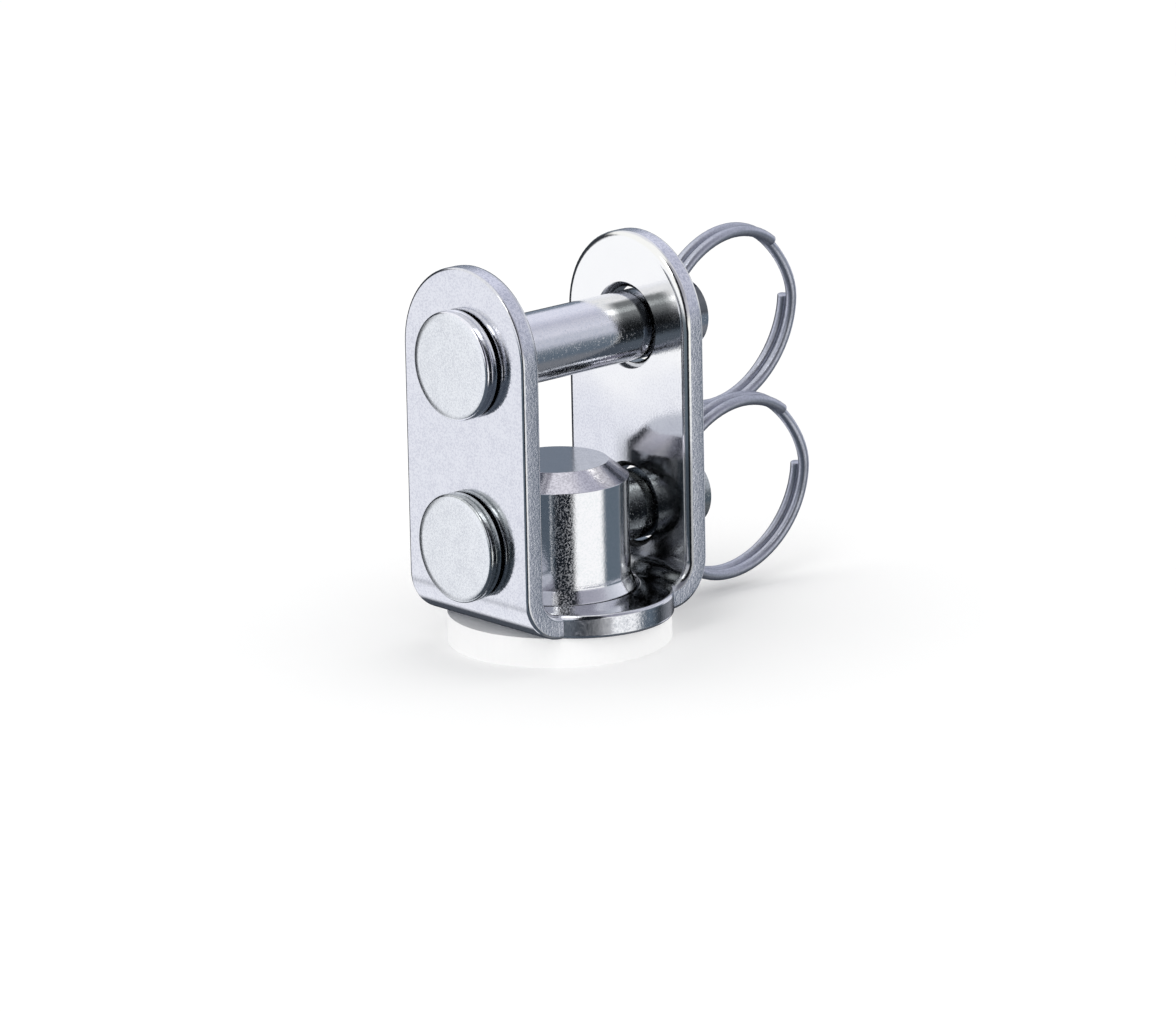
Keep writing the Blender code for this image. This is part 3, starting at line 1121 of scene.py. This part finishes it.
@dataclass
class SplitRing:
    """A ring of spring wire, whose turns lie side by side."""

    side: str
    height: float
    drop: float
    swing: float
    wire_radius: float = 0.625 * MM
    pitch: float = 1.33 * MM
    radius: float = 10.5 * MM
    crossover_angle: float = math.radians(48.0)
    crossover_place: float = math.radians(28.0)
    end_round: float = 0.14 * MM
    turns: int = 2
    steps_per_turn: int = 72
    wire_sides: int = 20
    end_steps: int = 3

    def build(self) -> Workpiece:
        """Model the ring and dress it.

        Returns:
            The finished ring.
        """
        reach = math.sqrt(self.radius ** 2 - (LAYOUT.pin_radius + self.drop) ** 2)
        centre = Vector((LAYOUT.ring_hole_x + (self.radius + reach) / 2, 0,
                         self.height - self.drop))
        total = self.turns * math.tau - self.crossover_angle
        steps = self.turns * self.steps_per_turn
        start = self.crossover_place + self.crossover_angle / 2
        place = centre + Vector((self.radius * math.cos(start), self._shift(0, total),
                                 self.radius * math.sin(start)))
        ring = Workpiece.disc(self.side + "_split_ring", self.wire_radius, self.wire_sides, place,
                              (0, -start, 0))
        turn = total / steps
        with ring.editing():
            for step in range(1, steps + 1):
                shift = self._shift(step * turn, total) - self._shift((step - 1) * turn, total)
                bpy.ops.mesh.extrude_region_move(TRANSFORM_OT_translate={"value": (0, shift, 0)})
                bpy.ops.transform.rotate(value=turn, orient_axis="Y", center_override=centre)
            ring.pick(Element.EDGES, lambda edge: any(len(face.verts) == self.wire_sides
                                                      for face in edge.link_faces))
            bpy.ops.mesh.bevel(affect="EDGES", offset=self.end_round, segments=self.end_steps,
                               profile=0.5)
            ring.face_outwards()
        ring.tilt(self.swing, (LAYOUT.ring_hole_x, 0, self.height), Axis.Z)
        ring.tilt(LAYOUT.lean, (0, 0, self.height))
        ring.finish([RING_WIRE.build()])
        return ring

    def _shift(self, angle: float, total: float) -> float:
        """How far sideways the wire is after turning through an angle.

        Args:
            angle: The angle from the wire's first end.
            total: The angle from end to end.

        Returns:
            The distance from the ring's middle plane.
        """
        share = (angle - total / 2) / self.crossover_angle + 0.5
        share = min(max(share, 0.0), 1.0)
        return (share * share * (3 - 2 * share) - 0.5) * self.pitch


LILAC: Colour = (0.90, 0.91, 1.00)
PALE: Colour = (1.08, 1.09, 1.17)
WHITE: Colour = (1.12, 1.12, 1.12)
CROWN: Colour = (1.06, 1.06, 1.09)
TEAL: Colour = (0.13, 0.165, 0.205)
DARK: Colour = (0.035, 0.04, 0.05)
BLACK: Colour = (0.012, 0.015, 0.02)
PLAIN_WHITE: Colour = (1.0, 1.0, 1.0)
FULL_TURN = 360


@dataclass(frozen=True)
class CardRow:
    """The surround's colours by bearing, in degrees, and the height where they take over."""

    cards: tuple[tuple[float, Colour], ...]
    takes_over: Limit | None = None

    def colours(self, board: NodeBoard, turn: Signal) -> Signal | Colour:
        """The row's colours.

        Args:
            board: The world's node board.
            turn: The bearing, as a share of a full turn.

        Returns:
            The colour at the bearing, or a plain one where the row has only one card.
        """
        if len(self.cards) == 1:
            return self.cards[0][1]
        stops = [(bearing / FULL_TURN, colour) for bearing, colour in self.cards]
        return board.add("ShaderNodeValToRGB", {"stops": stops}, {"Fac": turn})


LOW_ROW = CardRow((
    (0, LILAC), (16, LILAC), (26, DARK), (119, DARK), (126, PALE), (160, PALE), (172, TEAL),
    (218, TEAL), (224, BLACK), (251, BLACK), (257, WHITE), (302, WHITE), (310, TEAL),
    (345, TEAL), (353, LILAC), (360, LILAC),
))
HIGH_ROW = CardRow((
    (0, LILAC), (20, (0.6, 0.62, 0.7)), (38, (0.23, 0.27, 0.33)), (64, (0.23, 0.27, 0.33)),
    (76, DARK), (114, DARK), (124, PALE), (218, PALE), (227, BLACK), (256, BLACK),
    (264, (0.48, 0.48, 0.56)), (300, (0.56, 0.56, 0.64)), (316, (0.6, 0.63, 0.7)), (345, LILAC),
    (360, LILAC),
), Limit(UPWARDS, -0.12, 0.20))
UPPER_ROW = CardRow((
    (0, (0.66, 0.67, 0.77)), (22, (0.84, 0.85, 0.95)), (60, (0.84, 0.85, 0.95)), (90, CROWN),
    (218, CROWN), (227, BLACK), (256, BLACK), (264, (0.38, 0.38, 0.45)),
    (304, (0.38, 0.38, 0.45)), (318, (0.76, 0.77, 0.85)), (332, (0.66, 0.67, 0.75)),
    (346, (0.58, 0.59, 0.68)), (360, (0.66, 0.67, 0.77)),
), Limit(UPWARDS, 0.32, 0.50))
CROWN_ROW = CardRow(((0, CROWN),), Limit(UPWARDS, 0.92, 0.975))
DEEP_ROW = CardRow((
    (0, (0.06, 0.07, 0.09)), (76, (0.08, 0.09, 0.11)), (88, PALE), (120, PALE),
    (136, (0.10, 0.12, 0.15)), (290, (0.10, 0.12, 0.15)), (300, (0.20, 0.21, 0.23)),
    (330, (0.20, 0.21, 0.23)), (360, (0.06, 0.07, 0.09)),
), Limit(DOWNWARDS, 0.38, 0.58))


@dataclass(frozen=True)
class PhotoCamera:
    """The camera at the photograph's place, fitted to its image of 1176 by 1012 pixels."""

    azimuth: float = math.radians(-41.825)
    elevation: float = math.radians(15.137)
    roll: float = math.radians(-1.137)
    distance_mm: float = 854.5
    right_mm: float = 3.195
    up_mm: float = 11.386
    pixels_per_mm: float = 8.9090
    image_width: int = 1176
    sensor_width: float = 36.0
    clip_start: float = 0.01
    clip_end: float = 20.0

    def set_up(self) -> None:
        """Place the camera and make it the scene's."""
        back = Vector((math.sin(self.azimuth) * math.cos(self.elevation),
                       -math.cos(self.azimuth) * math.cos(self.elevation),
                       math.sin(self.elevation)))
        level = Vector((math.cos(self.azimuth), math.sin(self.azimuth), 0))
        rise = back.cross(level)
        right = level * math.cos(self.roll) + rise * math.sin(self.roll)
        up = rise * math.cos(self.roll) - level * math.sin(self.roll)
        data = bpy.data.cameras.new("camera")
        data.sensor_fit = "HORIZONTAL"
        data.sensor_width = self.sensor_width
        data.lens = self.sensor_width * self.pixels_per_mm * self.distance_mm / self.image_width
        data.clip_start, data.clip_end = self.clip_start, self.clip_end
        camera = bpy.data.objects.new("camera", data)
        bpy.context.scene.collection.objects.link(camera)
        place = (back * self.distance_mm + right * self.right_mm + up * self.up_mm) * MM
        turn = Matrix((right, up, back)).transposed().to_4x4()
        camera.matrix_world = Matrix.Translation(place) @ turn
        bpy.context.scene.camera = camera


@dataclass
class Studio:
    """The plain white studio: floor, pad, lamp and surround."""

    floor_height: float = -3.4 * MM
    floor_radius: float = 0.9
    pad_radius: float = 12.6 * MM
    pad_gap: float = 0.002 * MM
    round_sides: int = 96
    key_watts: float = 0.6
    key_width: float = 0.35
    key_place: Triple = (-0.45, -0.25, 0.75)

    def build(self) -> None:
        """Set the whole studio up."""
        self._floor()
        self._surround()
        self._lamp()
        PhotoCamera().set_up()
        bpy.context.scene.view_settings.view_transform = "Standard"

    def _floor(self) -> None:
        """A white floor, and a white pad on it that the base stands on."""
        material = bpy.data.materials.new("white_floor")
        material.use_nodes = True
        board = NodeBoard(material.node_tree)
        shader = board.add("ShaderNodeBsdfDiffuse", {}, {"Color": (*PLAIN_WHITE, 1.0)})
        board.add("ShaderNodeOutputMaterial", {}, {"Surface": shader})
        floor = Workpiece.disc("floor", self.floor_radius, self.round_sides,
                               Vector((0, 0, self.floor_height)))
        outline = [(self.pad_radius, self.floor_height), (self.pad_radius, -self.pad_gap)]
        pad = Workpiece.turned("pad", outline, Axis.Z, self.round_sides)
        for piece in (floor, pad):
            piece.obj.data.materials.append(material)
            piece.obj.visible_glossy = False

    def _surround(self) -> None:
        """A white surround with the studio's grey cards in it, which only reflections show."""
        world = bpy.data.worlds.new("studio")
        bpy.context.scene.world = world
        world.use_nodes = True
        board = NodeBoard(world.node_tree)
        way = board.add("ShaderNodeTexCoord", output="Generated")
        east, north = (board.add("ShaderNodeSeparateXYZ", {}, {"Vector": way}, output=name)
                       for name in "XY")
        bearing = board.add("ShaderNodeMath", {"operation": "ARCTAN2"}, {0: north, 1: east})
        turn = board.add("ShaderNodeMath", {"operation": "FRACT"}, {0: bearing / math.tau})
        colour = LOW_ROW.colours(board, turn)
        for row in (HIGH_ROW, UPPER_ROW, CROWN_ROW, DEEP_ROW):
            share = row.takes_over.share(board, way)
            colour = board.blend(share, colour, row.colours(board, turn))
        rays = board.add("ShaderNodeLightPath", output="Is Glossy Ray")
        seen = board.blend(rays, PLAIN_WHITE, colour)
        shader = board.add("ShaderNodeBackground", {}, {"Color": seen, "Strength": 1.0})
        board.add("ShaderNodeOutputWorld", {}, {"Surface": shader})

    def _lamp(self) -> None:
        """One broad soft lamp above and to the left of the camera."""
        lamp = bpy.data.lights.new("key", "AREA")
        lamp.shape = "DISK"
        lamp.size = self.key_width
        lamp.energy = self.key_watts
        key = bpy.data.objects.new("key", lamp)
        bpy.context.scene.collection.objects.link(key)
        place = Vector(self.key_place)
        key.location = place
        key.rotation_mode = "QUATERNION"
        key.rotation_quaternion = (-place).to_track_quat("-Z", "Y")


@dataclass(frozen=True)
class Station:
    """What the upper and the lower pin with its ring don't share."""

    side: str
    height: float
    shaft_finish: PlatedSteel
    ring_drop: float
    ring_swing: float


STATIONS = (
    Station("upper", LAYOUT.upper_pin_height, PIN_SHAFT, 2.1 * MM, math.radians(2.5)),
    # The lower pin's shaft takes the darker copy of the steel, which is painted shade.
    Station("lower", LAYOUT.lower_pin_height, PAINTED_SHADE_SHAFT, 0.85 * MM, math.radians(-1.0)),
)


def main() -> None:
    """Build every piece in order, then the studio."""
    Strap().build().hand_over("base", "strap", "strap_steel")
    Post().build().hand_over("base", "head_post", "post_steel")
    for station in STATIONS:
        side, height = station.side, station.height
        pin = ClevisPin(side, height, station.shaft_finish)
        ring = SplitRing(side, height, station.ring_drop, station.ring_swing)
        pin.build().hand_over(side + "_pin_body", side + "_pin", "pin_steel")
        ring.build().hand_over(side + "_ring_body", side + "_ring", "ring_wire")
    Studio().build()


if __name__ == "__main__":
    main()
